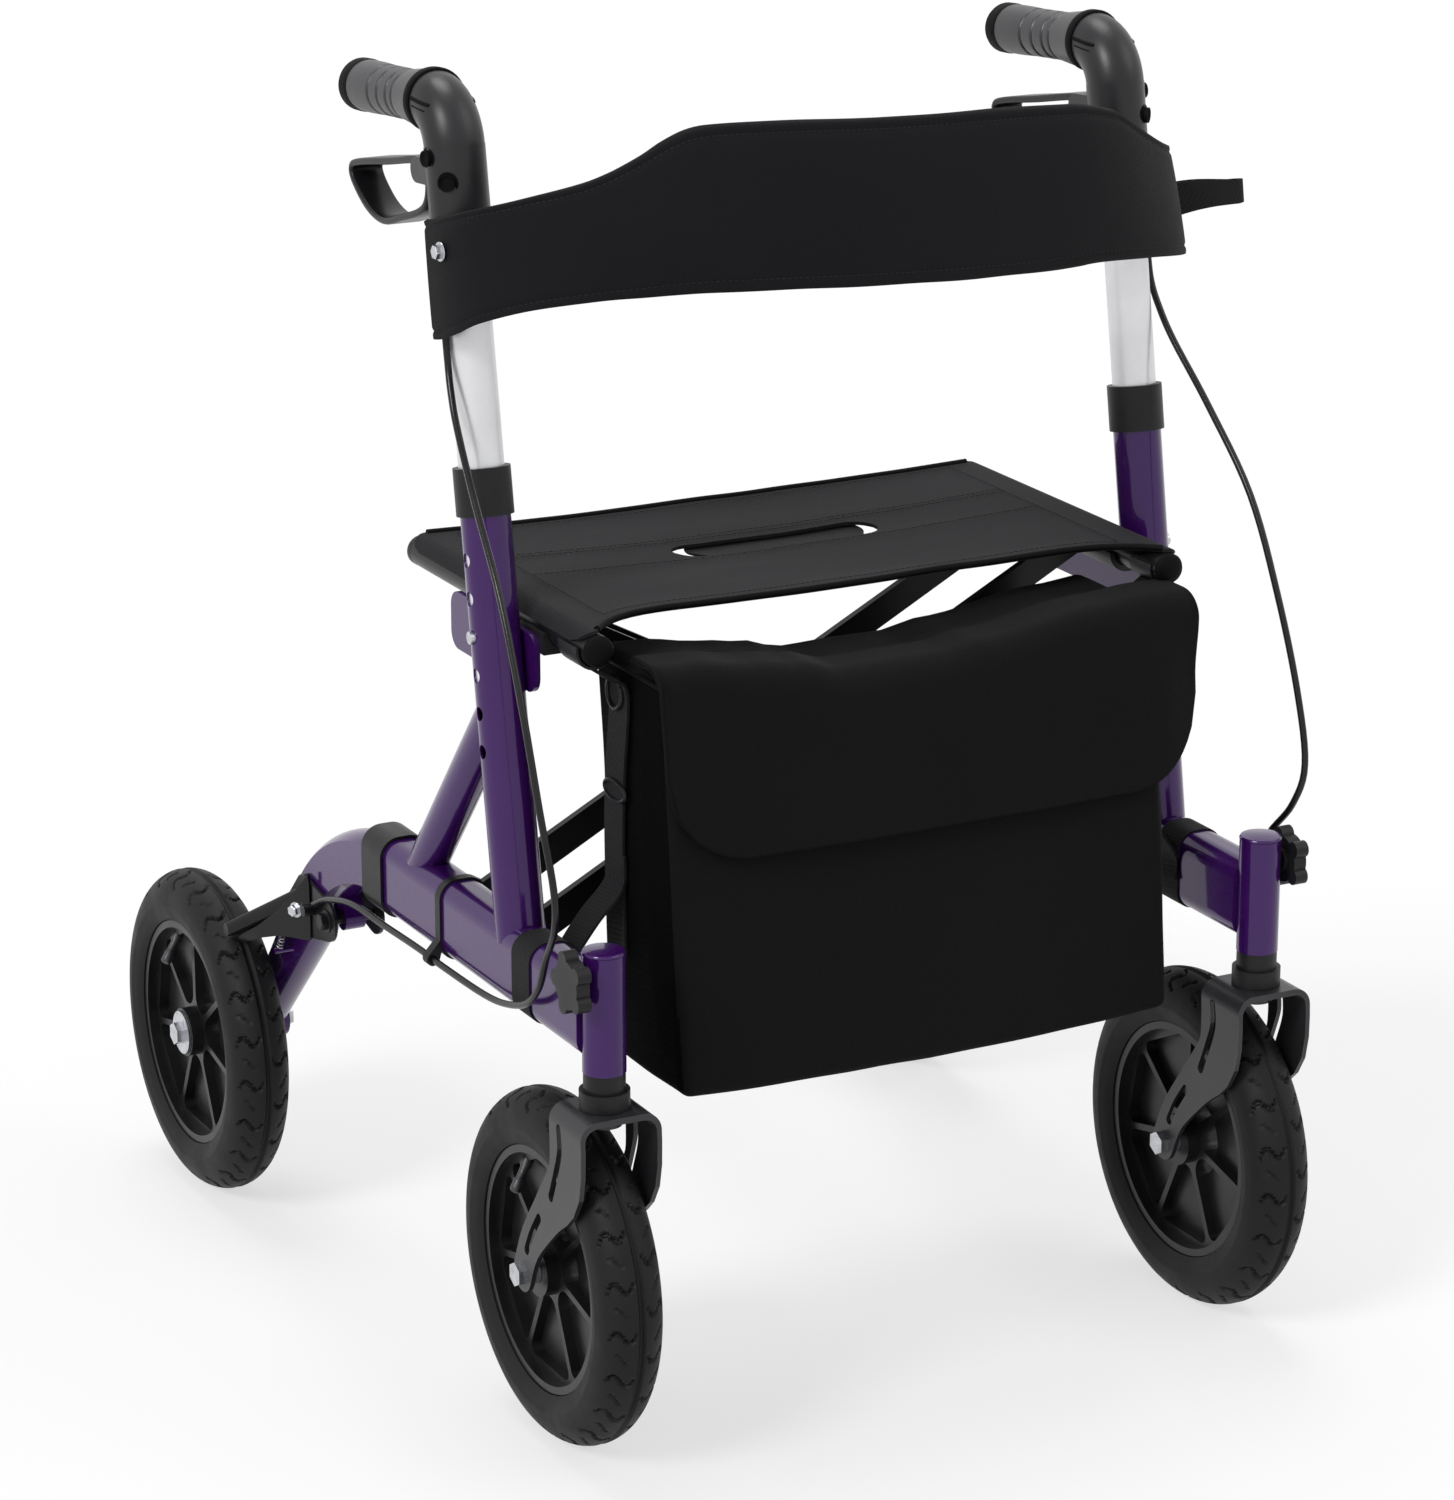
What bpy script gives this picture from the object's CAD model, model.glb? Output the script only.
import bisect
import math

import bmesh
import bpy
from mathutils import Matrix, Vector, noise
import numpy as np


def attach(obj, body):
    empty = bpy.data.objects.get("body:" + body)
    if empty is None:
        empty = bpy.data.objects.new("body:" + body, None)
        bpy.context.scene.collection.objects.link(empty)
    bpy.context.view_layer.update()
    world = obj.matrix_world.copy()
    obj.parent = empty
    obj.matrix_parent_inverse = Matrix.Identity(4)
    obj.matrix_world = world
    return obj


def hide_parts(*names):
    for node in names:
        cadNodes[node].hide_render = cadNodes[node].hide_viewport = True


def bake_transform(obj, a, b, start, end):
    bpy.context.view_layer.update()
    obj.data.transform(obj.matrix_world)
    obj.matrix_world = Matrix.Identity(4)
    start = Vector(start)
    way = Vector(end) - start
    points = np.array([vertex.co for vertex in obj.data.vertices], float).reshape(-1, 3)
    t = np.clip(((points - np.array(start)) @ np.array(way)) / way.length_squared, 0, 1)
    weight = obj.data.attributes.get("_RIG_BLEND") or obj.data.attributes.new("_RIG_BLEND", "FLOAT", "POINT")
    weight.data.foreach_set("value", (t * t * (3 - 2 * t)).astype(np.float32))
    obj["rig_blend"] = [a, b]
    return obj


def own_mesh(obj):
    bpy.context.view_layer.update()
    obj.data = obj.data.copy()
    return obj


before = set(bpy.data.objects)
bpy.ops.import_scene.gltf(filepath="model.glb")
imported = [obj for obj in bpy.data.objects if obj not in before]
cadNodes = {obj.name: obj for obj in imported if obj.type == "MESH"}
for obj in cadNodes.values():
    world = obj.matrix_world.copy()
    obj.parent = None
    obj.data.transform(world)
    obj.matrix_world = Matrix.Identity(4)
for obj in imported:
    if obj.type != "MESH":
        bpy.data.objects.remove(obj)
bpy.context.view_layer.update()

scene = bpy.context.scene
scene.view_settings.view_transform = "Standard"
sides = {"left": -1, "right": 1}
sideX = 0.261  # middle of a side frame
axleZ = 0.127  # middle of every wheel
tiny = 1e-6  # points closer than this are one point
print("frame loaded with", len(cadNodes), "nodes")


# camera at the photograph's viewing angle
viewSetup = {
    "azimuth": -27.38, "elevation": 17.66, "distance": 3.70702, "target": (0, 0, 0.45),
    "across": 0.0083, "up": -0.05966, "focalPixels": 4976.39, "longSide": 1500, "sensor": 36, "far": 100,
}


def addCamera(setup):
    turn, rise = math.radians(setup["azimuth"]), math.radians(setup["elevation"])
    back = Vector((math.sin(turn) * math.cos(rise), -math.cos(turn) * math.cos(rise), math.sin(rise)))
    right = Vector((math.cos(turn), math.sin(turn), 0))
    up = back.cross(right)
    data = bpy.data.cameras.new("photoView")
    data.sensor_width = setup["sensor"]
    data.lens = setup["focalPixels"] / setup["longSide"] * setup["sensor"]
    data.clip_end = setup["far"]
    camera = bpy.data.objects.new("photoView", data)
    place = Vector(setup["target"]) + back * setup["distance"] + right * setup["across"] + up * setup["up"]
    camera.matrix_world = Matrix.Translation(place) @ Matrix((right, up, back)).transposed().to_4x4()
    scene.collection.objects.link(camera)
    scene.camera = camera


addCamera(viewSetup)


# shader helpers
def addNode(tree, kind, values=None, **settings):
    node = tree.nodes.new(kind)
    for key, value in settings.items():
        setattr(node, key, value)
    for key, value in (values or {}).items():
        node.inputs[key].default_value = value
    return node


def doMath(tree, operation, first, second=None, clamp=False):
    node = addNode(tree, "ShaderNodeMath", operation=operation, use_clamp=clamp)
    for socket, value in zip(node.inputs, (first, second)):
        if isinstance(value, (int, float)):
            socket.default_value = value
        elif value is not None:
            tree.links.new(value, socket)
    return node.outputs[0]


def startGroup(name, inputs, outputs):
    group = bpy.data.node_groups.new(name, "ShaderNodeTree")
    for label, value in inputs.items():
        kind = "NodeSocketVector" if value is None else "NodeSocketFloat"
        socket = group.interface.new_socket(label, in_out="INPUT", socket_type=kind)
        if value is not None:
            socket.default_value = value
    for label in outputs:
        group.interface.new_socket(label, in_out="OUTPUT", socket_type="NodeSocketFloat")
    return group, group.nodes.new("NodeGroupInput").outputs, group.nodes.new("NodeGroupOutput").inputs


def feed(group, given, node, *labels):
    for label in labels:
        group.links.new(given[label], node.inputs[label])


# handling marks: a slow cloud with its contrast raised
soilGroup, given, put = startGroup(
    "handlingMarks", {"Vector": None, "Scale": 30.0, "Contrast": 2.0}, ["Mask"])
cloud = addNode(soilGroup, "ShaderNodeTexNoise", {"Detail": 5.0, "Roughness": 0.6})
feed(soilGroup, given, cloud, "Vector", "Scale")
cloudMiddle = 0.5
apart = doMath(soilGroup, "SUBTRACT", cloud.outputs[0], cloudMiddle)
lifted = doMath(soilGroup, "MULTIPLY", apart, given["Contrast"])
soilGroup.links.new(doMath(soilGroup, "ADD", lifted, cloudMiddle, clamp=True), put["Mask"])

# paint: a fine ripple left by the spray gun
peelGroup, given, put = startGroup("sprayRipple", {"Vector": None, "Scale": 420.0}, ["Height"])
ripple = addNode(peelGroup, "ShaderNodeTexNoise", {"Detail": 1.0, "Roughness": 0.4})
feed(peelGroup, given, ripple, "Vector", "Scale")
peelGroup.links.new(ripple.outputs[0], put["Height"])

# moulded plastic and rubber: a spark eroded stipple
grainGroup, given, put = startGroup("mouldStipple", {"Vector": None, "Scale": 1400.0}, ["Height"])
pits = addNode(grainGroup, "ShaderNodeTexVoronoi", feature="SMOOTH_F1")
specks = addNode(grainGroup, "ShaderNodeTexNoise", {"Detail": 3.0})
for speckle in (pits, specks):
    feed(grainGroup, given, speckle, "Vector", "Scale")
grainGroup.links.new(doMath(grainGroup, "ADD", pits.outputs["Distance"], specks.outputs[0]), put["Height"])

# woven cloth: threads over and under in two directions
weaveFacts = {"slant": 0.83, "depth": 0.5}
weaveGroup, given, put = startGroup("plainWeave", {"Vector": None, "Threads": 1000.0}, ["Height"])
split = addNode(weaveGroup, "ShaderNodeSeparateXYZ")
feed(weaveGroup, given, split, "Vector")
slanted = doMath(weaveGroup, "MULTIPLY", split.outputs[1], weaveFacts["slant"])
acrossCloth = doMath(weaveGroup, "ADD", split.outputs[0], split.outputs[1])
upCloth = doMath(weaveGroup, "SUBTRACT", split.outputs[2], slanted)
turns = doMath(weaveGroup, "MULTIPLY", given["Threads"], math.pi)
warp = doMath(weaveGroup, "SINE", doMath(weaveGroup, "MULTIPLY", acrossCloth, turns))
weft = doMath(weaveGroup, "SINE", doMath(weaveGroup, "MULTIPLY", upCloth, turns))
crossing = doMath(weaveGroup, "MULTIPLY", doMath(weaveGroup, "MULTIPLY", warp, weft), weaveFacts["depth"])
weaveGroup.links.new(doMath(weaveGroup, "ADD", crossing, weaveFacts["depth"]), put["Height"])

# drawn or brushed metal: long fine streaks up the tube
streakGroup, given, put = startGroup("drawnStreaks", {"Vector": None, "Scale": 900.0}, ["Height"])
drawn = addNode(streakGroup, "ShaderNodeMapping", {"Scale": (1.0, 1.0, 0.02)})
feed(streakGroup, given, drawn, "Vector")
streaks = addNode(streakGroup, "ShaderNodeTexNoise", {"Detail": 2.0})
streakGroup.links.new(drawn.outputs[0], streaks.inputs["Vector"])
feed(streakGroup, given, streaks, "Scale")
streakGroup.links.new(streaks.outputs[0], put["Height"])

# rubbed edges: rays inside the solid reach the other face soon where an edge is sharp
edgeFacts = {"reach": 0.0022, "rays": 4, "sharpFrom": 0.62, "sharpGain": 2.5, "patchScale": 90.0,
             "patchFrom": 0.42, "patchGain": 4.0}
edgeGroup, given, put = startGroup("rubbedEdges", {"Vector": None, "Amount": 0.5}, ["Mask"])
inside = addNode(edgeGroup, "ShaderNodeAmbientOcclusion", {"Distance": edgeFacts["reach"]}, inside=True,
                 only_local=True, samples=edgeFacts["rays"])
patchy = addNode(edgeGroup, "ShaderNodeTexNoise", {"Scale": edgeFacts["patchScale"], "Detail": 4.0})
feed(edgeGroup, given, patchy, "Vector")
sharp = doMath(edgeGroup, "SUBTRACT", edgeFacts["sharpFrom"], inside.outputs["AO"])
sharp = doMath(edgeGroup, "MULTIPLY", sharp, edgeFacts["sharpGain"], clamp=True)
chipped = doMath(edgeGroup, "SUBTRACT", patchy.outputs[0], edgeFacts["patchFrom"])
chipped = doMath(edgeGroup, "MULTIPLY", chipped, edgeFacts["patchGain"], clamp=True)
rubbed = doMath(edgeGroup, "MULTIPLY", doMath(edgeGroup, "MULTIPLY", sharp, chipped), given["Amount"])
edgeGroup.links.new(rubbed, put["Mask"])

grains = {
    "peel": (peelGroup, "Scale"), "stipple": (grainGroup, "Scale"),
    "weave": (weaveGroup, "Threads"), "streak": (streakGroup, "Scale"),
}

# colours are linear; worn is where hands and dust have been
finishes = {
    "purplePaint": {"colour": (0.034, 0.003, 0.088), "worn": (0.044, 0.006, 0.104), "rough": (0.22, 0.32),
                    "metal": 0.25, "spec": 0.1, "coat": 0.6, "coatRough": 0.05, "grain": "peel",
                    "grainSize": 380, "depth": 0.00004, "soil": 14},
    "blackPaint": {"colour": (0.004, 0.004, 0.005), "worn": (0.008, 0.008, 0.009), "rough": (0.26, 0.38),
                   "spec": 0.2, "coat": 0.06, "coatRough": 0.25, "grain": "peel", "grainSize": 700,
                   "depth": 0.00008, "soil": 22, "edge": 0.4, "edgeColour": (0.08, 0.08, 0.09)},
    "forkPaint": {"colour": (0.022, 0.0215, 0.024), "worn": (0.032, 0.0315, 0.035), "rough": (0.30, 0.42),
                  "spec": 0.4, "metal": 0.3, "coat": 0.1, "coatRough": 0.3, "grain": "peel",
                  "grainSize": 800, "depth": 0.0001, "soil": 26, "edge": 0.5,
                  "edgeColour": (0.16, 0.16, 0.17)},
    "blackPlastic": {"colour": (0.0055, 0.0055, 0.0062), "worn": (0.011, 0.011, 0.0125),
                     "rough": (0.36, 0.50), "spec": 0.25, "grain": "stipple", "grainSize": 1500,
                     "depth": 0.00008, "soil": 28},
    "shellPlastic": {"colour": (0.0045, 0.0045, 0.0060), "worn": (0.009, 0.009, 0.0112),
                     "rough": (0.28, 0.40), "spec": 0.42, "grain": "stipple", "grainSize": 1700,
                     "depth": 0.00005, "soil": 24},
    "gripRubber": {"colour": (0.014, 0.014, 0.017), "worn": (0.026, 0.026, 0.030), "rough": (0.34, 0.46),
                   "spec": 0.6, "grain": "stipple", "grainSize": 1100, "depth": 0.00014, "soil": 34},
    "tyreRubber": {"colour": (0.0048, 0.0048, 0.0052), "worn": (0.010, 0.010, 0.011), "rough": (0.46, 0.66),
                   "spec": 0.2, "grain": "stipple", "grainSize": 900, "depth": 0.00014, "soil": 40},
    "rimNylon": {"colour": (0.005, 0.005, 0.0055), "worn": (0.010, 0.010, 0.011), "rough": (0.28, 0.40),
                 "spec": 0.35, "grain": "stipple", "grainSize": 1300, "depth": 0.00006, "soil": 30},
    "zincSteel": {"colour": (0.62, 0.64, 0.68), "worn": (0.46, 0.46, 0.48), "rough": (0.22, 0.40),
                  "metal": 1.0, "grain": "stipple", "grainSize": 900, "depth": 0.00005, "soil": 160},
    "silverTube": {"colour": (0.78, 0.78, 0.80), "worn": (0.68, 0.68, 0.70), "rough": (0.26, 0.36),
                   "metal": 0.6, "grain": "streak", "grainSize": 1200, "depth": 0.00005, "soil": 18},
    "cableSheath": {"colour": (0.004, 0.004, 0.005), "worn": (0.008, 0.008, 0.009), "rough": (0.18, 0.28),
                    "spec": 0.3, "grain": "peel", "grainSize": 900, "depth": 0.00006, "soil": 30},
    "bagCloth": {"colour": (0.0042, 0.0042, 0.0048), "worn": (0.0066, 0.0066, 0.0072),
                 "rough": (0.70, 0.86), "spec": 0.06, "sheen": 0.02, "grain": "weave", "grainSize": 900,
                 "depth": 0.00022, "soil": 9},
    "bagNet": {"colour": (0.0014, 0.0014, 0.0016), "worn": (0.0024, 0.0024, 0.0027), "rough": (0.76, 0.90),
               "spec": 0.04, "grain": "weave", "grainSize": 420, "depth": 0.0005, "soil": 14},
    "seatCloth": {"colour": (0.013, 0.013, 0.0145), "worn": (0.023, 0.023, 0.025), "rough": (0.62, 0.78),
                  "spec": 0.06, "sheen": 0.02, "grain": "weave", "grainSize": 760, "depth": 0.00034,
                  "soil": 11},
    "backCloth": {"colour": (0.0056, 0.0056, 0.0068), "worn": (0.0090, 0.0090, 0.0104),
                  "rough": (0.62, 0.78), "spec": 0.08, "sheen": 0.03, "grain": "weave", "grainSize": 980,
                  "depth": 0.0002, "soil": 8},
    "webbing": {"colour": (0.007, 0.007, 0.008), "worn": (0.013, 0.013, 0.014), "rough": (0.62, 0.78),
                "spec": 0.1, "sheen": 0.04, "grain": "weave", "grainSize": 520, "depth": 0.0004, "soil": 60},
    "bindingTape": {"colour": (0.003, 0.003, 0.0034), "worn": (0.005, 0.005, 0.0056), "rough": (0.50, 0.66),
                    "spec": 0.06, "grain": "weave", "grainSize": 1300, "depth": 0.00018, "soil": 50},
    "sewingThread": {"colour": (0.009, 0.009, 0.010), "worn": (0.018, 0.018, 0.020), "rough": (0.5, 0.65),
                     "spec": 0.15, "grain": "weave", "grainSize": 2400, "depth": 0.0001, "soil": 90},
}
finishFacts = {"markContrast": 2.2, "bump": 0.8}


def makeFinish(name, look):
    material = bpy.data.materials.new(name)
    material.use_nodes = True
    tree = material.node_tree
    shader = tree.nodes["Principled BSDF"]
    place = addNode(tree, "ShaderNodeTexCoord").outputs["Object"]

    def useGroup(group, values):
        node = addNode(tree, "ShaderNodeGroup", values, node_tree=group)
        tree.links.new(place, node.inputs["Vector"])
        return node

    soiled = useGroup(soilGroup, {"Scale": look["soil"], "Contrast": finishFacts["markContrast"]})
    marks = soiled.outputs["Mask"]
    blend = addNode(tree, "ShaderNodeMix", data_type="RGBA")
    blend.inputs["A"].default_value = (*look["colour"], 1)
    blend.inputs["B"].default_value = (*look["worn"], 1)
    tree.links.new(marks, blend.inputs["Factor"])
    colour = blend.outputs["Result"]
    if "edge" in look:
        rub = useGroup(edgeGroup, {"Amount": look["edge"]}).outputs["Mask"]
        bare = addNode(tree, "ShaderNodeMix", data_type="RGBA")
        bare.inputs["B"].default_value = (*look["edgeColour"], 1)
        tree.links.new(colour, bare.inputs["A"])
        tree.links.new(rub, bare.inputs["Factor"])
        colour = bare.outputs["Result"]
    tree.links.new(colour, shader.inputs["Base Color"])
    rough = addNode(tree, "ShaderNodeMapRange", {"To Min": look["rough"][0], "To Max": look["rough"][1]})
    tree.links.new(marks, rough.inputs["Value"])
    tree.links.new(rough.outputs[0], shader.inputs["Roughness"])
    group, sizeSocket = grains[look["grain"]]
    relief = useGroup(group, {sizeSocket: look["grainSize"]}).outputs["Height"]
    bump = addNode(tree, "ShaderNodeBump", {"Strength": finishFacts["bump"], "Distance": look["depth"]})
    tree.links.new(relief, bump.inputs["Height"])
    tree.links.new(bump.outputs[0], shader.inputs["Normal"])
    shader.inputs["Metallic"].default_value = look.get("metal", 0)
    shader.inputs["Coat Weight"].default_value = look.get("coat", 0)
    shader.inputs["Coat Roughness"].default_value = look.get("coatRough", 0.1)
    shader.inputs["Specular IOR Level"].default_value = look.get("spec", 0.5)
    shader.inputs["Sheen Weight"].default_value = look.get("sheen", 0)
    return material


finish = {name: makeFinish(name, look) for name, look in finishes.items()}

# which finish each family of CAD nodes wears
nodeFinishes = {
    "purplePaint": ["side_rail", "upright_post", "diagonal_brace", "rear_leg"],
    "blackPaint": ["brake_lever", "brake_arm", "scissor_arm"],
    "forkPaint": ["caster_fork"],
    "blackPlastic": ["leg_collar", "post_collar", "head_bearing", "lock_knob", "cable_clip", "seat_cradle"],
    "shellPlastic": ["handle_shell"],
    "gripRubber": ["grip"],
    "tyreRubber": ["front_tyre", "rear_tyre"],
    "rimNylon": ["front_rim", "rear_rim"],
    "zincSteel": ["front_axle", "rear_axle", "snap_button", "pivot_bolt", "cross_bolt", "brake_spring"],
    "silverTube": ["handle_tube"],
    "cableSheath": ["brake_cable"],
    "bagCloth": ["bag"],
    "seatCloth": ["seat_sling"],
    "backCloth": ["backrest"],
    "webbing": ["fold_strap"],
}
for finishName, families in nodeFinishes.items():
    for nodeName, node in cadNodes.items():
        if any(nodeName.startswith(family) for family in families):
            node.data.materials.clear()
            node.data.materials.append(finish[finishName])
print("finishes made:", len(finish))


# modelling helpers
def smoothStep(t):
    t = min(max(t, 0), 1)
    return t * t * (3 - 2 * t)


def spaced(start, end, count):
    return [start + (end - start) * i / count for i in range(count + 1)]


def arch(share):
    # rises from 0 to 1 in the middle of its stretch and falls again
    return math.sin(math.pi * min(max(share, 0), 1))


postFacts = {"lean": math.radians(9.5), "y": -0.215, "z": 0.333}


def postPoint(x, behind, along):
    # a point of the leaning post's own frame: behind its middle, and along it from the rail
    f = postFacts
    return Vector((x, f["y"] + behind * math.cos(f["lean"]) + along * math.sin(f["lean"]),
                   f["z"] - behind * math.sin(f["lean"]) + along * math.cos(f["lean"])))


def smoothPath(points, steps, closed=False):
    points = [Vector(p) for p in points]
    count = len(points)
    path = []
    for i in range(count if closed else count - 1):
        if closed:
            a, b, c, d = (points[(i + k) % count] for k in (-1, 0, 1, 2))
        else:
            a, b, c, d = points[max(i - 1, 0)], points[i], points[i + 1], points[min(i + 2, count - 1)]
        for k in range(steps):
            t = k / steps
            path.append((2 * b + (c - a) * t + (2 * a - 5 * b + 4 * c - d) * t * t
                         + (3 * b - a - 3 * c + d) * t ** 3) / 2)
    return path if closed else path + [points[-1]]


def pathLength(path):
    return sum((b - a).length for a, b in zip(path, path[1:]))


def finishPiece(mesh, name, finishName, body, angle=40):
    mesh.materials.clear()
    mesh.materials.append(finish[finishName])
    mesh.shade_smooth()
    mesh.set_sharp_from_angle(angle=math.radians(angle))
    piece = bpy.data.objects.new(name, mesh)
    scene.collection.objects.link(piece)
    if body:
        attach(piece, body)
    return piece


def pieceFromBmesh(bm, name, finishName, body, angle=40):
    bmesh.ops.recalc_face_normals(bm, faces=bm.faces)
    mesh = bpy.data.meshes.new(name)
    bm.to_mesh(mesh)
    bm.free()
    return finishPiece(mesh, name, finishName, body, angle)


def tubeMesh(name, path, radius, around=3, closed=False):
    curve = bpy.data.curves.new(name, "CURVE")
    curve.dimensions = "3D"
    curve.bevel_depth = radius
    curve.bevel_resolution = around
    curve.use_fill_caps = not closed
    spline = curve.splines.new("POLY")
    spline.points.add(len(path) - 1)
    for point, at in zip(spline.points, path):
        point.co = (*at, 1)
    spline.use_cyclic_u = closed
    holder = bpy.data.objects.new(name, curve)
    scene.collection.objects.link(holder)
    bpy.context.view_layer.update()
    mesh = bpy.data.meshes.new_from_object(holder.evaluated_get(bpy.context.evaluated_depsgraph_get()))
    bpy.data.objects.remove(holder)
    bpy.data.curves.remove(curve)
    mesh.name = name
    return mesh


def addTube(bm, path, radius, around=3, closed=False):
    mesh = tubeMesh("spare", path, radius, around, closed)
    bm.from_mesh(mesh)
    bpy.data.meshes.remove(mesh)


def roundedBox(halfWide, halfHigh, corner, steps):
    # outline of a rectangle with round corners, about its own centre
    outline = []
    for quarter, (sx, sy) in enumerate(((1, -1), (1, 1), (-1, 1), (-1, -1))):
        for i in range(steps + 1):
            turn = math.pi / 2 * (quarter - 1 + i / steps)
            outline.append((sx * (halfWide - corner) + corner * math.cos(turn),
                            sy * (halfHigh - corner) + corner * math.sin(turn)))
    return outline


def gridSheet(columns, rows, place):
    bm = bmesh.new()
    bmesh.ops.create_grid(bm, x_segments=columns, y_segments=rows, size=1)
    for vert in bm.verts:
        vert.co = place((vert.co.x + 1) / 2, (vert.co.y + 1) / 2)
    return bm


def thicken(bm, thickness):
    bmesh.ops.recalc_face_normals(bm, faces=bm.faces)
    bmesh.ops.solidify(bm, geom=bm.faces[:], thickness=thickness)


def stripSheet(path, widthway, width, thickness, closed=False):
    # flat webbing along a path, its width along one fixed direction
    last = len(path) if closed else len(path) - 1
    way = Vector(widthway).normalized()
    bm = gridSheet(last, 4, lambda u, v: path[round(u * last) % len(path)] + way * (v - 0.5) * width)
    if closed:
        bmesh.ops.remove_doubles(bm, verts=bm.verts, dist=tiny)
    thicken(bm, thickness)
    return bm


def turned(profile, axis, at, steps=32):
    # a turned piece: radius and height pairs spun about an axis through a point
    bm = bmesh.new()
    verts = [bm.verts.new((r, 0, h)) for r, h in profile]
    edges = [bm.edges.new(pair) for pair in zip(verts, verts[1:])]
    bmesh.ops.spin(bm, geom=verts + edges, axis=(0, 0, 1), cent=(0, 0, 0), angle=math.tau, steps=steps,
                   use_merge=True, use_duplicate=False)
    bmesh.ops.remove_doubles(bm, verts=bm.verts, dist=tiny)
    turnTo = Vector((0, 0, 1)).rotation_difference(Vector(axis)).to_matrix().to_4x4()
    bmesh.ops.transform(bm, matrix=Matrix.Translation(at) @ turnTo, verts=bm.verts)
    return bm


def joinInto(target, source):
    mesh = bpy.data.meshes.new("spare")
    source.to_mesh(mesh)
    source.free()
    target.from_mesh(mesh)
    bpy.data.meshes.remove(mesh)


# brake cables first: the route repeats the part's points, out from the side frame
cableFacts = {
    "route": [
        (0.0185, -0.1411, 0.7748), (0.0185, -0.1427, 0.7650), (0.019, -0.1475, 0.7455),
        (0.021, -0.1560, 0.7280), (0.024, -0.1720, 0.7060), (0.030, -0.2120, 0.6647),
        (0.035, -0.2620, 0.6101), (0.037, -0.2980, 0.5450), (0.038, -0.3260, 0.4800),
        (0.036, -0.3420, 0.4300), (0.032, -0.3340, 0.3981), (0.028, -0.3120, 0.3708),
        (0.027, -0.2980, 0.3452), (0.026, -0.2750, 0.3260), (0.025, -0.2400, 0.3140),
        (0.024, -0.2000, 0.3080), (0.024, -0.1340, 0.3060), (0.024, -0.0900, 0.3060),
        (0.024, -0.0300, 0.3040), (0.024, 0.0300, 0.3020), (0.024, 0.0797, 0.2899), (0.024, 0.1037, 0.2789),
    ],
    "diameter": 0.005, "steps": 6, "bendY": -0.2, "bendFrom": 0.47, "bendTo": 0.75,
}
for side, sign in sides.items():
    route = [(sign * (sideX + out), y, z) for out, y, z in cableFacts["route"]]
    path = smoothPath(route, cableFacts["steps"])
    mesh = tubeMesh("brakeCable." + side, path, cableFacts["diameter"] / 2)
    cable = finishPiece(mesh, "brakeCable." + side, "cableSheath", None)
    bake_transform(cable, side + "_frame", "handle_" + side, start=(0, cableFacts["bendY"], cableFacts["bendFrom"]),
             end=(0, cableFacts["bendY"], cableFacts["bendTo"]))
    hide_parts("brake_cable_" + side)
    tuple(path[0])
    round(pathLength(path), 3)
print("cables:", round(pathLength(path), 3), "m each")


# return springs of the brakes
springFacts = {"out": 0.0265, "armStud": (0.15569, 0.24793), "legStud": (0.16962, 0.22110), "wire": 0.0009,
               "width": 0.0056, "curls": 7, "perCurl": 14, "rest": 0.0029, "hook": (0.0024, 0.0022),
               "hookShare": 0.6}
for side, sign in sides.items():
    f = springFacts
    start, end = (Vector((sign * (sideX + f["out"]), *f[stud])) for stud in ("armStud", "legStud"))
    along = (end - start).normalized()
    out = Vector((sign, 0, 0))
    across = along.cross(Vector((-1, 0, 0)))
    radius = (f["width"] - f["wire"]) / 2
    count = f["curls"] * f["perCurl"]
    neck = along * f["rest"] * f["hookShare"]
    coil = [start + across * f["hook"][0], start + neck + across * f["hook"][1]]
    for i, way in enumerate(spaced(f["rest"], (end - start).length - f["rest"], count)):
        turn = math.tau * i / f["perCurl"]
        coil.append(start + along * way + (across * math.cos(turn) + out * math.sin(turn)) * radius)
    coil += [end - neck + across * f["hook"][1], end + across * f["hook"][0]]
    mesh = tubeMesh("brakeSpring." + side, coil, f["wire"] / 2, around=1)
    spring = finishPiece(mesh, "brakeSpring." + side, "zincSteel", side + "_frame")
    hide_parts("brake_spring_" + side)
print("springs wound")


# seat sling: cloth stretched between the seat rails, with a slot and a pull strap under it
slingFacts = {
    "half": 0.226, "front": -0.264, "bay": 0.038, "bayPower": 8, "rear": 0.0205, "bow": 0.004, "top": 0.5779,
    "sag": 0.006, "edgeSag": 0.28, "edgeWide": 0.03, "thick": 0.0026, "railZ": 0.565, "wrap": 0.0129,
    "wrapTurn": 74, "corner": 0.018,
    "slotHalf": 0.0825, "slotMiddle": -0.094, "slotRound": 0.017, "slotEnd": 0.004, "slotFade": 0.05,
    "straightCells": 6, "slotTurns": (18, 36, 52, 66, 78), "sideCells": 14, "wrapCells": 5,
    "frontRows": 12, "slotRows": 4, "cornerRows": 6,
    "ripples": [(5, 26, 3.1, 0.0014), (18, 52, 8.4, 0.0007)],  # cells across and along, start, height
    "seamHalf": 0.205, "seamIn": 0.012, "seamCells": (60, 40),
    "slotSeams": [(-1, 0.007), (1, 0.007), (1, 0.013)],  # before or behind the slot, and how far
    "hemHalf": 0.224, "hemIn": 0.001, "hemRadius": 0.0024, "hemCells": 90,
}


def slingFront(x):
    # the front edge is cut in a bay between the rails
    f = slingFacts
    return f["front"] + f["bay"] * (1 - min(abs(x) / f["half"], 1) ** f["bayPower"])


def slingRear(x):
    f = slingFacts
    return f["rear"] + f["bow"] * (1 - min(abs(x) / f["half"], 1) ** 2)


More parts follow.
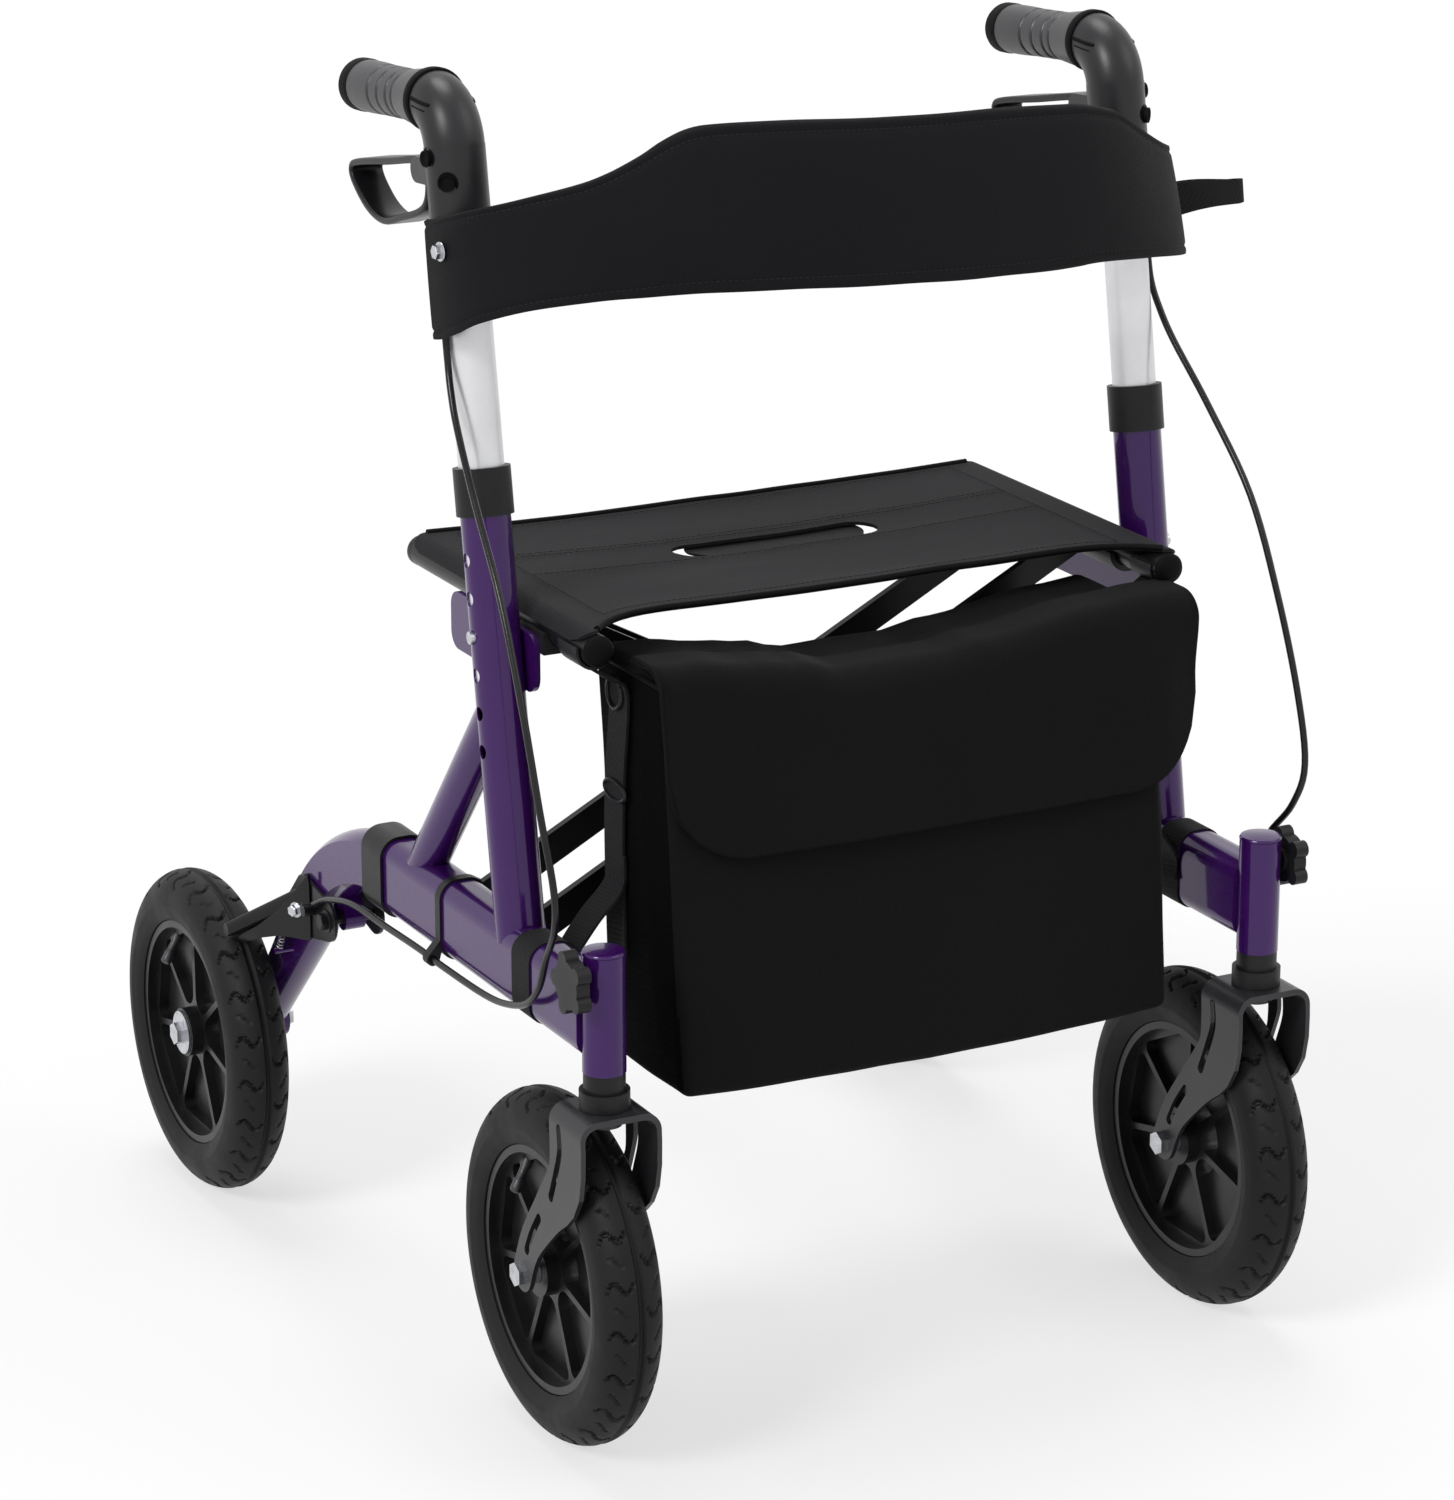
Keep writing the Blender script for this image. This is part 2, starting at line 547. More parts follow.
def slotHalfWidth(x):
    # round ends, and beyond them the cloth's own rows spread out again
    f = slingFacts
    past = abs(x) - (f["slotHalf"] - f["slotRound"])
    if abs(x) >= f["slotHalf"] - tiny:
        spread = smoothStep((abs(x) - f["slotHalf"]) / f["slotFade"])
        return f["slotEnd"] + (f["slotRound"] - f["slotEnd"]) * spread
    return max(math.sqrt(f["slotRound"] ** 2 - max(past, 0) ** 2), f["slotEnd"])


def slingHeight(x, y):
    # middle of the cloth, with soft ripples that run between the rails
    f = slingFacts
    free = 1 - min(abs(x) / f["half"], 1) ** 2
    ripple = sum(noise.noise(Vector((x * a, y * b, start))) * high for a, b, start, high in f["ripples"])
    edge = smoothStep((y - slingFront(x)) / f["edgeWide"]) * smoothStep((slingRear(x) - y) / f["edgeWide"])
    return f["top"] - f["sag"] * free * (1 - f["edgeSag"] * (1 - edge)) + ripple * free


def slingPoint(s, y):
    # s runs across the cloth and round the rails
    f = slingFacts
    over = (abs(s) - f["half"]) / f["wrap"]
    if over <= 0:
        return Vector((s, y, slingHeight(s, y)))
    side = math.copysign(1, s)
    x = side * (f["half"] + f["wrap"] * math.sin(over))
    return Vector((x, y, f["railZ"] + f["wrap"] * math.cos(over)))


def makeSling():
    f = slingFacts
    reach = f["half"] + f["wrap"] * math.radians(f["wrapTurn"])
    straight = f["slotHalf"] - f["slotRound"]
    stations = spaced(0, straight, f["straightCells"])[1:]
    stations += [straight + f["slotRound"] * math.sin(math.radians(turn)) for turn in f["slotTurns"]]
    stations += spaced(f["slotHalf"], f["half"], f["sideCells"])
    stations += spaced(f["half"], reach, f["wrapCells"])[1:]
    columns = [-c for c in reversed(stations)] + [0] + stations
    rows = 2 * f["frontRows"] + f["slotRows"]

    def place(u, v):
        s, row = columns[round(u * (len(columns) - 1))], round(v * rows)
        front, rear, slot = slingFront(s), slingRear(s), slotHalfWidth(s)
        slotFront, slotRear, slotRow = f["slotMiddle"] - slot, f["slotMiddle"] + slot, row - f["frontRows"]
        if slotRow <= 0:
            y = front + (slotFront - front) * row / f["frontRows"]
        elif slotRow < f["slotRows"]:
            y = slotFront + 2 * slot * slotRow / f["slotRows"]
        else:
            y = slotRear + (rear - slotRear) * (slotRow - f["slotRows"]) / f["frontRows"]
        # corners rounded by drawing the last rows in
        inset = max(abs(s) - (reach - f["corner"]), 0)
        drawn = f["corner"] - math.sqrt(f["corner"] ** 2 - inset ** 2)
        drawn *= max(1 - min(row, rows - row) / f["cornerRows"], 0)
        return slingPoint(s, y + math.copysign(drawn, rows / 2 - row))

    bm = gridSheet(len(columns) - 1, rows, place)
    gone = []
    for face in bm.faces:
        at = face.calc_center_median()
        if abs(at.x) < f["slotHalf"] and abs(at.y - f["slotMiddle"]) < slotHalfWidth(at.x):
            gone.append(face)
    bmesh.ops.delete(bm, geom=gone, context="FACES")
    bmesh.ops.translate(bm, verts=bm.verts, vec=(0, 0, f["thick"] / 2))
    thicken(bm, f["thick"])
    return bm


def placeSoft(piece):
    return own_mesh(piece)


sling = pieceFromBmesh(makeSling(), "seatSling", "seatCloth", "sling", angle=50)
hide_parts("seat_sling")


# pull strap under the slot
pullFacts = {"half": 0.0705, "wide": 0.025, "shift": (0.0065, 0.014), "drop": 0.0016, "least": 0.002,
             "thick": 0.0018, "cells": (48, 8)}


def makePull():
    # wider than the slot towards the rear, so only its round ends leave gaps
    f = pullFacts

    def place(u, v):
        x = math.sin((u - 0.5) * math.pi) * f["half"]
        over = max(abs(x) - (f["half"] - f["wide"]), 0)
        halfWide = max(math.sqrt(max(f["wide"] ** 2 - over ** 2, 0)), f["least"])
        x += f["shift"][0]
        y = slingFacts["slotMiddle"] + f["shift"][1] + (2 * v - 1) * halfWide
        return Vector((x, y, slingHeight(x, y) - slingFacts["thick"] / 2 - f["drop"]))

    bm = gridSheet(*f["cells"], place)
    thicken(bm, f["thick"])
    return bm


pull = pieceFromBmesh(makePull(), "seatPull", "webbing", "sling", angle=50)


# sewing: a row of short threads along a path
stitchFacts = {"pitch": 0.0042, "size": (0.0028, 0.0007, 0.0005), "lift": 0.3}


def stitchRow(bm, path, normalAt):
    size = stitchFacts["size"]
    length = pathLength(path)
    count = max(int(length / stitchFacts["pitch"]), 1)
    walked, index = 0.0, 0
    for i in range(count):
        target = (i + 0.5) * length / count
        while index < len(path) - 2 and walked + (path[index + 1] - path[index]).length < target:
            walked += (path[index + 1] - path[index]).length
            index += 1
        step = path[index + 1] - path[index]
        at = path[index] + step * ((target - walked) / max(step.length, tiny))
        along = step.normalized()
        up = normalAt(at).normalized()
        across = up.cross(along).normalized()
        turnTo = Matrix((along, across, along.cross(across))).transposed().to_4x4()
        middle = Matrix.Translation(at + up * size[2] * stitchFacts["lift"])
        bmesh.ops.create_cube(bm, size=1, matrix=middle @ turnTo @ Matrix.Diagonal((*size, 1)))


def makeSlingSeams():
    f = slingFacts
    bm = bmesh.new()
    across, along = f["seamCells"]
    lines = [lambda x: slingFront(x) + f["seamIn"], lambda x: slingRear(x) - f["seamIn"]]
    for way, gap in f["slotSeams"]:
        lines.append(lambda x, y=f["slotMiddle"] + way * (f["slotRound"] + gap): y)
    paths = [[(x, line(x)) for x in spaced(-f["seamHalf"], f["seamHalf"], across)] for line in lines]
    for x in (-f["seamHalf"], f["seamHalf"]):
        paths.append([(x, y) for y in spaced(lines[0](x), lines[1](x), along)])
    for path in paths:
        onCloth = [Vector((x, y, slingHeight(x, y) + f["thick"])) for x, y in path]
        stitchRow(bm, onCloth, lambda at: Vector((0, 0, 1)))
    return bm


seams = pieceFromBmesh(makeSlingSeams(), "seatStitching", "sewingThread", "sling")


def makeSlingHem(line):
    f = slingFacts
    lift = Vector((0, 0, f["thick"] / 2))
    path = [slingPoint(x, line(x)) + lift for x in spaced(-f["hemHalf"], f["hemHalf"], f["hemCells"])]
    return tubeMesh("seatHem", path, f["hemRadius"])


hemLines = {"front": lambda x: slingFront(x) + slingFacts["hemIn"],
            "rear": lambda x: slingRear(x) - slingFacts["hemIn"]}
hems = [finishPiece(makeSlingHem(line), "seatHem." + name, "bindingTape", "sling")
        for name, line in hemLines.items()]
for piece in [sling, pull, seams, *hems]:
    placeSoft(piece)
print("seat sling made")


# backrest: a padded band that bows forward between the two handle shells
backFacts = {
    "bow": 0.150, "reach": 0.2866, "power": 2.5, "pathCells": 240, "edgeSteps": 8, "columns": 200,
    "fall": 0.1175, "pad": 0.014, "inner": 0.004, "hem": 0.0016, "start": 0.62,
    "seam": 0.068, "seamDeep": 0.0012, "seamWide": 0.014,
    # the right side is drawn in and twisted, but not its very end
    "twist": 0.009, "drawIn": 0.0075, "drawFrom": 0.12, "drawOver": 0.12, "endFade": 0.05,
    # across, lower and upper edge along the posts
    "edges": [(-0.2866, 0.4345, 0.5160), (-0.2838, 0.4390, 0.5190), (-0.2753, 0.4465, 0.5226),
              (-0.2520, 0.4533, 0.5278), (-0.2170, 0.4562, 0.5353), (-0.1870, 0.4562, 0.5484),
              (-0.1700, 0.4560, 0.5578), (-0.1520, 0.4555, 0.5646), (-0.1320, 0.4545, 0.5662),
              (-0.0895, 0.4522, 0.5646), (0, 0.4475, 0.5604), (0.0895, 0.4450, 0.5588),
              (0.1330, 0.4456, 0.5573), (0.1524, 0.4463, 0.5562), (0.1870, 0.4455, 0.5507),
              (0.2030, 0.4449, 0.5447), (0.2172, 0.4442, 0.5380), (0.2302, 0.4434, 0.5322),
              (0.2523, 0.4422, 0.5233), (0.2690, 0.4413, 0.5190), (0.2866, 0.4390, 0.5160)],
    # rows of the mesh as shares of the height, up to its middle
    "heights": [0, 0.018, 0.040, 0.056, 0.068, 0.080, 0.100, 0.140, 0.200, 0.280, 0.360, 0.440],
    "creaseCells": (20, 9, 1.7), "crease": 0.0007,
    "slackCrease": 0.0009, "slackFrom": 0.10, "slackOver": 0.14,
}
backFacts["heights"] += [0.5] + [1 - h for h in reversed(backFacts["heights"])]


def makeBandPath():
    f = backFacts
    path = []
    for turn in spaced(0, math.pi, f["pathCells"]):
        side = math.cos(turn)
        path.append(Vector((-math.copysign(abs(side) ** (2 / f["power"]), side) * f["reach"],
                            -f["bow"] * max(math.sin(turn), 0) ** (2 / f["power"]), 0)))
    return path


bandPath = makeBandPath()
bandWalk = [0.0]
for a, b in zip(bandPath, bandPath[1:]):
    bandWalk.append(bandWalk[-1] + (b - a).length)


def bandAt(u):
    # point of the band's line and the way it faces, at a share of its length
    target = min(max(u, 0), 1) * bandWalk[-1]
    i = min(max(bisect.bisect_left(bandWalk, target), 1), len(bandPath) - 1)
    a, b = bandPath[i - 1], bandPath[i]
    way = (b - a).normalized()
    return a + way * (target - bandWalk[i - 1]), Vector((way.y, -way.x, 0))


bandEdges = smoothPath(backFacts["edges"], backFacts["edgeSteps"])
edgeWalk = [point.x for point in bandEdges]


def bandPoint(u, height, out):
    # height is a share of the band's height there, out is in front of its line
    f = backFacts
    at, facing = bandAt(u)
    i = min(max(bisect.bisect_left(edgeWalk, at.x), 1), len(edgeWalk) - 1)
    a, b = bandEdges[i - 1], bandEdges[i]
    edge = a + (b - a) * min(max((at.x - a.x) / (b.x - a.x), 0), 1)
    spot = at + facing * out
    drawn = smoothStep((at.x - f["drawFrom"]) / f["drawOver"]) * smoothStep(-at.y / f["endFade"])
    spot.x += (f["twist"] * (0.5 - height) - f["drawIn"]) * drawn
    return postPoint(spot.x, spot.y, edge.y + height * (edge.z - edge.y))


def padDepth(u):
    f = backFacts
    at = bandAt(u)[0]
    return f["inner"] + (f["pad"] - f["inner"]) * smoothStep((sideX - abs(at.x)) / f["fall"])


def makeBackrest():
    f = backFacts
    heights = f["heights"]
    half = len(heights) - 1
    bm = bmesh.new()
    along, high, front = (bm.verts.layers.float.new(name) for name in ("along", "high", "front"))
    bmesh.ops.create_grid(bm, x_segments=f["columns"], y_segments=2 * half, size=1)
    for vert in bm.verts:
        u, row = (vert.co.x + 1) / 2, round((vert.co.y + 1) * half) % (2 * half)
        faces = row < half
        height = heights[row] if faces else heights[2 * half - row]
        swell = arch(height) ** 0.5
        out = f["hem"] + ((padDepth(u) * f["start"] if faces else f["inner"]) - f["hem"]) * swell
        vert.co = bandPoint(u, height, out if faces else -out)
        vert[along], vert[high], vert[front] = u, height, float(faces)
    bmesh.ops.remove_doubles(bm, verts=bm.verts, dist=tiny)
    bmesh.ops.holes_fill(bm, edges=[e for e in bm.edges if e.is_boundary], sides=0)
    bmesh.ops.triangulate(bm, faces=[face for face in bm.faces if len(face.verts) > 4])
    bmesh.ops.recalc_face_normals(bm, faces=bm.faces)
    mesh = bpy.data.meshes.new("backrest")
    bm.to_mesh(mesh)
    bm.free()
    return mesh


def takeShape(obj):
    bpy.context.view_layer.update()
    return bpy.data.meshes.new_from_object(obj.evaluated_get(bpy.context.evaluated_depsgraph_get()))


airFacts = {"heldBeyond": 0.222, "heldHem": 0.03, "pressure": 4.0, "frames": 20, "mostMove": 0.006,
            "settings": {"quality": 6, "mass": 0.3, "tension_stiffness": 12, "compression_stiffness": 12,
                         "bending_stiffness": 0.6, "use_pressure": True}}


def inflate(mesh, facts):
    # blown up as cloth between its held hems and ends, and kept near where it began
    holder = bpy.data.objects.new("padding", mesh)
    scene.collection.objects.link(holder)
    start = [vert.co.copy() for vert in mesh.vertices]
    high = mesh.attributes["high"].data
    pins = holder.vertex_groups.new(name="held")
    pins.add([i for i, co in enumerate(start)
              if abs(co.x) > facts["heldBeyond"] or min(high[i].value, 1 - high[i].value) < facts["heldHem"]],
             1.0, "REPLACE")
    cloth = holder.modifiers.new("air", "CLOTH")
    for setting, value in facts["settings"].items():
        setattr(cloth.settings, setting, value)
    cloth.settings.uniform_pressure_force = facts["pressure"]
    cloth.settings.vertex_group_mass = "held"
    cloth.settings.effector_weights.gravity = 0
    cloth.point_cache.frame_start, cloth.point_cache.frame_end = 1, facts["frames"]
    for number in range(1, facts["frames"] + 1):
        scene.frame_set(number)
    shaped = takeShape(holder)
    moves = [vert.co - co for vert, co in zip(shaped.vertices, start)]
    print("padding moved up to", round(max(move.length for move in moves) * 1000, 1), "mm")
    for vert, co, move in zip(shaped.vertices, start, moves):
        if move.length > facts["mostMove"]:
            vert.co = co + move.normalized() * facts["mostMove"]
    scene.frame_set(1)
    bpy.data.objects.remove(holder)
    return shaped


def finishBackrest():
    f = backFacts
    shaped = inflate(makeBackrest(), airFacts)
    bm = bmesh.new()
    bm.from_mesh(shaped)
    bpy.data.meshes.remove(shaped)
    along, high, front = (bm.verts.layers.float[name] for name in ("along", "high", "front"))
    across, up, begin = f["creaseCells"]
    bm.normal_update()
    for vert in bm.verts:  # sewn lines near both edges, and slack creases towards the ends
        nearest = min(abs(vert[high] - f["seam"]), abs(1 - vert[high] - f["seam"]))
        slack = smoothStep((abs(vert.co.x) - f["slackFrom"]) / f["slackOver"])
        crease = noise.noise(Vector((vert.co.x * across, vert.co.z * up, begin)))
        deep = f["seamDeep"] * math.exp(-(nearest / f["seamWide"]) ** 2)
        vert.co += vert.normal * ((f["crease"] + f["slackCrease"] * slack) * crease - deep)
    rows = []
    for share in (f["seam"], 1 - f["seam"]):
        row = [vert for vert in bm.verts if abs(vert[high] - share) < tiny and vert[front] > 0.5]
        row.sort(key=lambda vert: vert[along])
        rows.append([(vert.co.copy(), vert.normal.copy()) for vert in row])
    return bm, rows


bandMesh, seamRows = finishBackrest()
backrest = pieceFromBmesh(bandMesh, "backrestBand", "backCloth", "handle_left", angle=80)
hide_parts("backrest")


def makeBandSeam(rows):
    bm = bmesh.new()
    for row in rows:
        def facing(at, row=row):
            return min(row, key=lambda pair: (pair[0] - at).length_squared)[1]
        stitchRow(bm, [pair[0] for pair in row], facing)
    return bm


bandSeam = makeBandSeam(seamRows)
bandSeam = pieceFromBmesh(bandSeam, "backrestStitching", "sewingThread", "handle_left")
for piece in (backrest, bandSeam):
    placeSoft(piece)
print("backrest made")


# bag: a sewn box that hangs from its upper corners, its foot swung forward
bagFacts = {
    "half": 0.196, "front": -0.314, "back": -0.206, "low": 0.257, "top": 0.550, "round": 0.009, "cells": 36,
    "seamCells": 4, "lean": 0.10, "leanFrom": 0.44, "netFacing": 0.85,
    # as shares of the height: the belly, and where the sag of the rim and of the bottom begins
    "belly": 0.006, "bellyTop": 0.46, "bellyFade": 0.3, "bellyFoot": 0.12, "sagFrom": 0.45, "bottom": 0.12,
    "sides": 0.006, "sideFade": 0.6, "bottomSag": 0.004,
    # creases: cells along x, y and z, the slow ones slanting with z, and stronger towards the upper corners
    "creases": 0.0022, "dragCells": (9, 12, 4), "dragSlant": 7, "dragShare": 0.55,
    "fineCells": (24, 20, 17), "fineStart": 4.0, "fineShare": 0.3,
    "cornerShare": 0.8, "cornerSpread": 0.006, "cornerLow": 0.4,
    # share of the width, and how far the rim hangs there below its corners
    "dips": [(0, 0), (0.07, 0.001), (0.20, 0.008), (0.28, 0.012), (0.36, 0.020), (0.56, 0.0195),
             (0.645, 0.0145), (0.88, 0.003), (1, 0)],
    "rimDrop": 0.006, "rimRadius": 0.0022, "rimCell": 0.006, "rimSteps": 6,
}


def bagLean(z):
    return (z - bagFacts["leanFrom"]) * bagFacts["lean"]


def bagDip(x):
    # how far the rim hangs below its corners
    share = min(max((x + bagFacts["half"]) / (2 * bagFacts["half"]), 0), 1)
    dips = bagFacts["dips"]
    for (a, low), (b, high) in zip(dips, dips[1:]):
        if share <= b:
            return low + (high - low) * smoothStep((share - a) / (b - a))
    return 0


def bagPush(co, facing):
    # slack cloth: a low belly in the front, full sides and creases from the hung corners
    f = bagFacts
    up = (co.z - f["low"]) / (f["top"] - f["low"])
    wide = 1 - (co.x / f["half"]) ** 2
    deep = 1 - abs(2 * (co.y - f["back"]) / (f["front"] - f["back"]) - 1)
    push = 0.0
    if facing.y < -0.5:
        hang = smoothStep((f["bellyTop"] - up) / f["bellyFade"]) * smoothStep(up / f["bellyFoot"])
        push += f["belly"] * max(wide, 0) * hang
    if abs(facing.x) > 0.5:
        push += f["sides"] * arch(up) * smoothStep(deep / f["sideFade"])
    x, y, z = (a * b for a, b in zip(co, f["dragCells"]))
    drag = noise.noise(Vector((x + co.z * f["dragSlant"], y, z)))
    x, y, z = (a * b for a, b in zip(co, f["fineCells"]))
    fine = noise.noise(Vector((x, y + f["fineStart"], z)))
    corner = math.exp(-((abs(co.x) - f["half"]) ** 2) / f["cornerSpread"])
    corner *= f["cornerLow"] + (1 - f["cornerLow"]) * up
    return push + f["creases"] * (drag * (f["dragShare"] + f["cornerShare"] * corner) + f["fineShare"] * fine)


def makeBag():
    f = bagFacts
    size = Vector((2 * f["half"], f["back"] - f["front"], f["top"] - f["low"]))
    middle = Vector((0, (f["back"] + f["front"]) / 2, (f["top"] + f["low"]) / 2))
    edge, cells, fine = f["round"], f["cells"], f["seamCells"]

    def spread(share, length):
        # finer cells along the seams
        k = (share + 0.5) * cells
        if k < fine:
            return edge * k / fine - length / 2
        if k > cells - fine:
            return length / 2 - edge * (cells - k) / fine
        return edge + (length - 2 * edge) * (k - fine) / (cells - 2 * fine) - length / 2

    bm = bmesh.new()
    bmesh.ops.create_cube(bm, size=1)
    bmesh.ops.subdivide_edges(bm, edges=bm.edges[:], cuts=cells - 1, use_grid_fill=True)
    for vert in bm.verts:  # rounded seams
        at = Vector(spread(a, b) for a, b in zip(vert.co, size))
        core = Vector(max(min(a, b / 2 - edge), edge - b / 2) for a, b in zip(at, size))
        away = at - core
        vert.co = middle + core + (away.normalized() * edge if away.length > tiny else away)
    bmesh.ops.recalc_face_normals(bm, faces=bm.faces)
    bm.normal_update()
    normals = {vert: vert.normal.copy() for vert in bm.verts}
    for vert in bm.verts:
        vert.co += normals[vert] * bagPush(vert.co, normals[vert])
        up = (vert.co.z - f["low"]) / (f["top"] - f["low"])
        vert.co.z -= bagDip(vert.co.x) * smoothStep((up - f["sagFrom"]) / (1 - f["sagFrom"]))
        lowest = smoothStep((f["bottom"] - up) / f["bottom"])
        vert.co.z -= f["bottomSag"] * (1 - (vert.co.x / f["half"]) ** 2) * lowest
        vert.co.y += bagLean(vert.co.z)
    return bm


bag = pieceFromBmesh(makeBag(), "bagShell", "bagCloth", "left_frame", angle=60)
bag.data.materials.append(finish["bagNet"])
for polygon in bag.data.polygons:
    if abs(polygon.normal.x) > bagFacts["netFacing"]:
        polygon.material_index = 1
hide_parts("bag")


def makeBagTrim():
    # binding round the rim
    f = bagFacts
    middle, halfDeep = (f["back"] + f["front"]) / 2, (f["back"] - f["front"]) / 2
    rim = [Vector(point) for point in roundedBox(f["half"], halfDeep, f["round"], f["rimSteps"])]
    path = []
    for a, b in zip(rim, rim[1:] + rim[:1]):
        count = max(int((b - a).length / f["rimCell"]), 1)
        for k in range(count):
            x, y = a + (b - a) * k / count
            z = f["top"] - bagDip(x) - f["rimDrop"]
            path.append(Vector((x, middle + y + bagLean(z), z)))
    bm = bmesh.new()
    addTube(bm, path, f["rimRadius"], closed=True)
    return bm


bagTrim = pieceFromBmesh(makeBagTrim(), "bagBinding", "bindingTape", "left_frame")

# webbing that ties the bag to the rails and hooks that hang it on the seat rails
tieFacts = {
    "railY": -0.249, "hookY": -0.247, "width": 0.028, "thick": 0.002, "railZ": 0.333, "railHigh": 0.057,
    "railWide": 0.034, "railRound": 0.013, "railClear": 0.0002, "seatRailX": 0.226, "seatRailZ": 0.565,
    "seatRail": 0.0113, "hookClear": 0.001, "hookTurns": range(-194, 16, 14), "smooth": 6, "wire": 0.0015,
    "cornerSteps": 8, "ringCells": 28,
    # out and up along each piece of webbing
    "web": [(0.2428, 0.327), (0.2428, 0.345), (0.226, 0.369), (0.206, 0.391), (0.2045, 0.415)],
    "hang": [(0.226, 0.5517), (0.214, 0.543), (0.2005, 0.530), (0.2035, 0.470), (0.2045, 0.420),
             (0.2030, 0.340)],
    # place, half width and half height of each ring
    "rings": [((0.2040, -0.2450, 0.5275), 0.011, 0.011), ((0.2060, -0.2490, 0.459), 0.016, 0.007)],
}


def webbingStrip(path, closed=False):
    return stripSheet(path, (0, 1, 0), tieFacts["width"], tieFacts["thick"], closed)


bagTies = []
for side, sign in sides.items():
    f = tieFacts
    grow = f["railClear"] + f["thick"] / 2
    outline = roundedBox(f["railWide"] / 2 + grow, f["railHigh"] / 2 + grow, f["railRound"] + grow,
                         f["cornerSteps"])
    ring = [Vector((sign * sideX + x, f["railY"], f["railZ"] + z)) for x, z in outline]
    tie = webbingStrip(ring, closed=True)
    pieceFromBmesh(tie, "railTie." + side, "webbing", side + "_frame", angle=60)
    hookRadius = f["seatRail"] + f["hookClear"]
    hook = webbingStrip([
        Vector((sign * f["seatRailX"] + hookRadius * math.cos(turn), f["hookY"],
                f["seatRailZ"] + hookRadius * math.sin(turn))) for turn in map(math.radians, f["hookTurns"])])
    pieceFromBmesh(hook, "bagHook." + side, "blackPlastic", side + "_frame", angle=60)
    for name, line, y in (("railWeb.", "web", f["railY"]), ("bagHanger.", "hang", f["hookY"])):
        web = webbingStrip(smoothPath([(sign * x, y, z) for x, z in f[line]], f["smooth"]))
        bagTies.append(pieceFromBmesh(web, name + side, "webbing", "left_frame", angle=60))
    loops = bmesh.new()
    for at, wide, high in f["rings"]:
        ring = [Vector((sign * at[0], at[1] + wide * math.cos(turn), at[2] + high * math.sin(turn)))
                for turn in spaced(0, math.tau, f["ringCells"])[:-1]]
        addTube(loops, ring, f["wire"], around=2, closed=True)
    bagTies.append(pieceFromBmesh(loops, "bagRings." + side, "blackPaint", "left_frame"))
for piece in (bag, bagTrim, *bagTies):
    placeSoft(piece)
print("bag made")


# flap: a sheet that folds over the rim and hangs in front
flapFacts = {
    "left": -0.198, "right": 0.224, "front": -0.3170, "top": 0.5553, "low": 0.424, "hinge": -0.274,
    "bend": 0.016, "corner": 0.060, "thick": 0.0026, "columns": 72, "rows": 44, "belly": 0.004,
    "forward": 0.0016, "hangFrom": 0.01, "hangOver": 0.05, "topWaves": 0.6,
    "waves": [(6, 5, 2.2, 0.0022), (19, 15, 5.0, 0.0008)],  # cells across and up, start, height
    # the loose right side dips less and turns back a little
    "looseFrom": 0.17, "looseOver": 0.05, "looseDip": 0.7, "curl": 0.010, "curlFrom": 0.19, "curlOver": 0.045,
    "tape": 0.0022, "tapeCells": (90, 40), "seamIn": 0.03, "seamDown": 0.955, "seamOut": 0.002,
}


def flapPoint(x, share, low):
    # share runs from the hinge, over the bend and down to the lower edge
    f = flapFacts
    flat = f["hinge"] - (f["front"] + f["bend"])
    curve = f["bend"] * math.pi / 2
    drop = f["top"] - f["bend"] - low
    walk = share * (flat + curve + drop)
    dip = bagDip(x) * (1 - f["looseDip"] * smoothStep((x - f["looseFrom"]) / f["looseOver"]))
    if walk < flat:
        return Vector((x, f["hinge"] - walk, f["top"] - dip))
    if walk < flat + curve:
        turn = (walk - flat) / f["bend"]
        return Vector((x, f["front"] + f["bend"] * (1 - math.sin(turn)),
                       f["top"] - f["bend"] * (1 - math.cos(turn)) - dip))
    down = (walk - flat - curve) / drop
    z = f["top"] - f["bend"] - down * drop
    return Vector((x, f["front"], z - dip * (1 - down)))


def flapLow(x):
    f = flapFacts
    inset = max(f["left"] + f["corner"] - x, x - (f["right"] - f["corner"]), 0)
    return f["low"] + f["corner"] - math.sqrt(max(f["corner"] ** 2 - inset ** 2, 0))


def flapShape(u, v):
    f = flapFacts
    x = f["left"] + u * (f["right"] - f["left"])
    at = flapPoint(x, v, flapLow(x))
    hanging = smoothStep((f["top"] - at.z - f["hangFrom"]) / f["hangOver"])
    wave = sum(noise.noise(Vector((x * a, at.z * b, start))) * high for a, b, start, high in f["waves"])
    belly = f["belly"] * (1 - (2 * u - 1) ** 2)
    curl = f["curl"] * smoothStep((x - f["curlFrom"]) / f["curlOver"])
    at.y += (wave + curl - belly - f["forward"]) * hanging + bagLean(at.z)
    if hanging < 1:
        at.z += wave * (1 - hanging) * f["topWaves"]
    return at


flapMesh = gridSheet(flapFacts["columns"], flapFacts["rows"], flapShape)
thicken(flapMesh, flapFacts["thick"])
flap = pieceFromBmesh(flapMesh, "bagFlap", "bagCloth", "flap", angle=60)
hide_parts("bag_flap")
across, down = flapFacts["tapeCells"]
border = [flapShape(0, v) for v in spaced(0, 1, down)[:-1]] + [flapShape(u, 1) for u in spaced(0, 1, across)]
border += [flapShape(1, v) for v in spaced(1, 0, down)[1:]]
tapeMesh = tubeMesh("flapBinding", border, flapFacts["tape"])
flapTape = finishPiece(tapeMesh, "flapBinding", "bindingTape", "flap")


